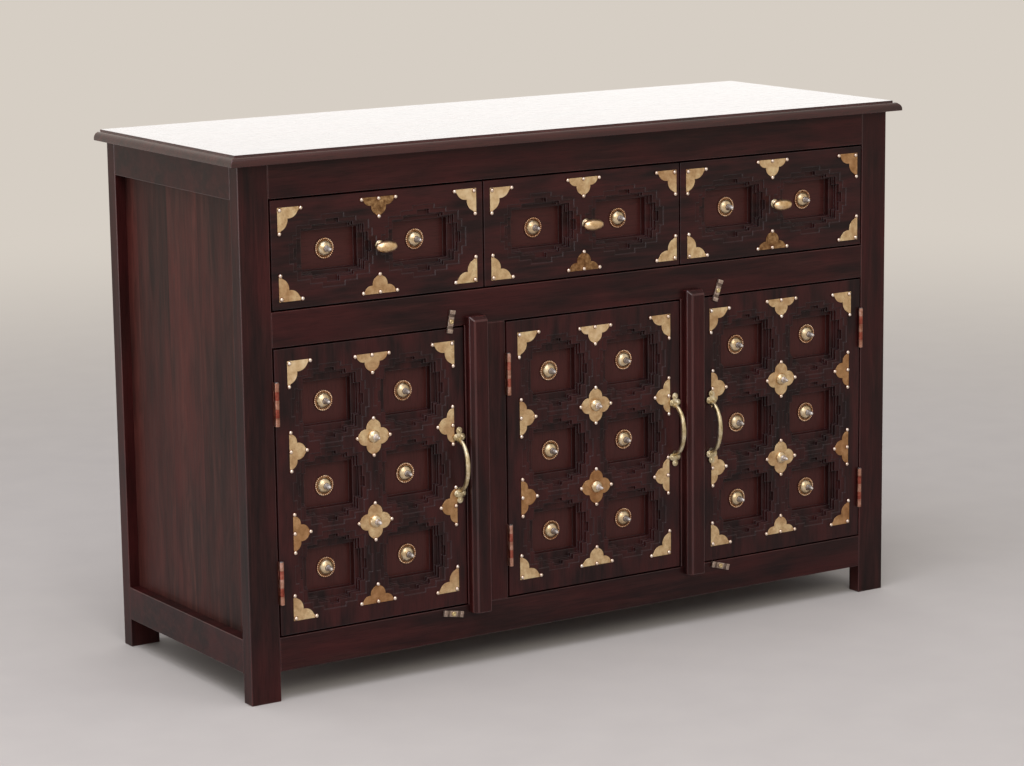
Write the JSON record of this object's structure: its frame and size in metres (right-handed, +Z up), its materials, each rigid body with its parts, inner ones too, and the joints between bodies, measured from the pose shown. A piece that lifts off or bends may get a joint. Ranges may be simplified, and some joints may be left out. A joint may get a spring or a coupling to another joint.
{
  "type": "carved wooden cabinet",
  "caption": "Low wooden cabinet with a row of carved drawers over carved hinged doors, all dressed with cut brass plates, domed studs, bow pulls and small turn buttons.",
  "frame": {"origin": "on the floor, at the centre of the cabinet's whole footprint, which runs from the pulls to the back edge of the top", "axes": "+X to the right along the front, +Y from the front to the back, +Z up"},
  "size_m": [1.444, 0.542, 0.96],
  "materials": {
    "frame_wood": "dark red-brown hardwood, polished lacquer",
    "carved_wood": "dark red-brown hardwood, stepped carving, polished lacquer",
    "panel_wood": "dark brown hardwood boards, upright grain, lacquered",
    "top_wood": "dark brown hardwood, lengthwise grain, high gloss lacquer",
    "inner_wood": "plain brown hardwood, unpolished",
    "sheet_brass": "aged sheet brass, satin, lightly scratched",
    "stud_brass": "polished domed brass",
    "cast_brass": "pale cast brass, worn satin",
    "hinge_metal": "coppery brass, rubbed",
    "pin_steel": "plain steel",
    "button_steel": "worn plated steel",
    "screw_brass": "slotted brass screw heads"
  },
  "bodies": {
    "carcass": {"post_front_left": "frame_wood", "post_front_right": "frame_wood", "post_back_left": "frame_wood", "post_back_right": "frame_wood", "front_rail_bottom": "frame_wood", "front_rail_middle": "frame_wood", "front_rail_top": "frame_wood", "side_rails": "frame_wood", "back_rails": "frame_wood", "door_stiles": "frame_wood", "cover_strips": "frame_wood", "top": "top_wood", "side_panels": "panel_wood", "back_panel": "panel_wood", "cupboard_floor": "inner_wood", "drawer_deck": "inner_wood", "cupboard_partitions": "inner_wood", "cupboard_shelves": "inner_wood", "drawer_guides": "inner_wood", "frame_hinge_leaves": "hinge_metal", "hinge_pins": "pin_steel", "turn_button_screws": "screw_brass"},
    "left_door": {"door_left_leaf": "carved_wood", "door_left_brass_plates": "sheet_brass", "door_left_studs": "stud_brass", "door_left_pull": "cast_brass", "door_left_hinge_leaves": "hinge_metal"},
    "middle_door": {"door_middle_leaf": "carved_wood", "door_middle_brass_plates": "sheet_brass", "door_middle_studs": "stud_brass", "door_middle_pull": "cast_brass", "door_middle_hinge_leaves": "hinge_metal"},
    "right_door": {"door_right_leaf": "carved_wood", "door_right_brass_plates": "sheet_brass", "door_right_studs": "stud_brass", "door_right_pull": "cast_brass", "door_right_hinge_leaves": "hinge_metal"},
    "left_drawer": {"drawer_left_front": "carved_wood", "drawer_left_walls": "inner_wood", "drawer_left_bottom": "inner_wood", "drawer_left_brass_plates": "sheet_brass", "drawer_left_studs": "stud_brass", "drawer_left_knob": "cast_brass"},
    "middle_drawer": {"drawer_middle_front": "carved_wood", "drawer_middle_walls": "inner_wood", "drawer_middle_bottom": "inner_wood", "drawer_middle_brass_plates": "sheet_brass", "drawer_middle_studs": "stud_brass", "drawer_middle_knob": "cast_brass"},
    "right_drawer": {"drawer_right_front": "carved_wood", "drawer_right_walls": "inner_wood", "drawer_right_bottom": "inner_wood", "drawer_right_brass_plates": "sheet_brass", "drawer_right_studs": "stud_brass", "drawer_right_knob": "cast_brass"},
    "left_top_button": {"turn_button_left_top": "button_steel"},
    "left_bottom_button": {"turn_button_left_bottom": "button_steel"},
    "right_top_button": {"turn_button_right_top": "button_steel"},
    "right_bottom_button": {"turn_button_right_bottom": "button_steel"}
  },
  "joints": [
    {"name": "left_door_hinge", "type": "hinge", "parent": "carcass", "child": "left_door", "pos_m": [-0.638, -0.2405, 0.369], "axis": [0, 0, -1], "range_deg": [0, 110]},
    {"name": "middle_door_hinge", "type": "hinge", "parent": "carcass", "child": "middle_door", "pos_m": [-0.167, -0.2405, 0.369], "axis": [0, 0, -1], "range_deg": [0, 110]},
    {"name": "right_door_hinge", "type": "hinge", "parent": "carcass", "child": "right_door", "pos_m": [0.638, -0.2405, 0.369], "axis": [0, 0, 1], "range_deg": [0, 110]},
    {"name": "left_drawer_slide", "type": "slide", "parent": "carcass", "child": "left_drawer", "axis": [0, -1, 0], "range_m": [0, 0.33]},
    {"name": "middle_drawer_slide", "type": "slide", "parent": "carcass", "child": "middle_drawer", "axis": [0, -1, 0], "range_m": [0, 0.33]},
    {"name": "right_drawer_slide", "type": "slide", "parent": "carcass", "child": "right_drawer", "axis": [0, -1, 0], "range_m": [0, 0.33]},
    {"name": "left_top_button_turn", "type": "hinge", "parent": "carcass", "child": "left_top_button", "pos_m": [-0.2855, -0.23805, 0.634], "axis": [0, -1, 0], "continuous": true},
    {"name": "left_bottom_button_turn", "type": "hinge", "parent": "carcass", "child": "left_bottom_button", "pos_m": [-0.29, -0.23805, 0.103], "axis": [0, -1, 0], "continuous": true},
    {"name": "right_top_button_turn", "type": "hinge", "parent": "carcass", "child": "right_top_button", "pos_m": [0.298, -0.23805, 0.6325], "axis": [0, -1, 0], "continuous": true},
    {"name": "right_bottom_button_turn", "type": "hinge", "parent": "carcass", "child": "right_bottom_button", "pos_m": [0.304, -0.23805, 0.1045], "axis": [0, -1, 0], "continuous": true}
  ]
}
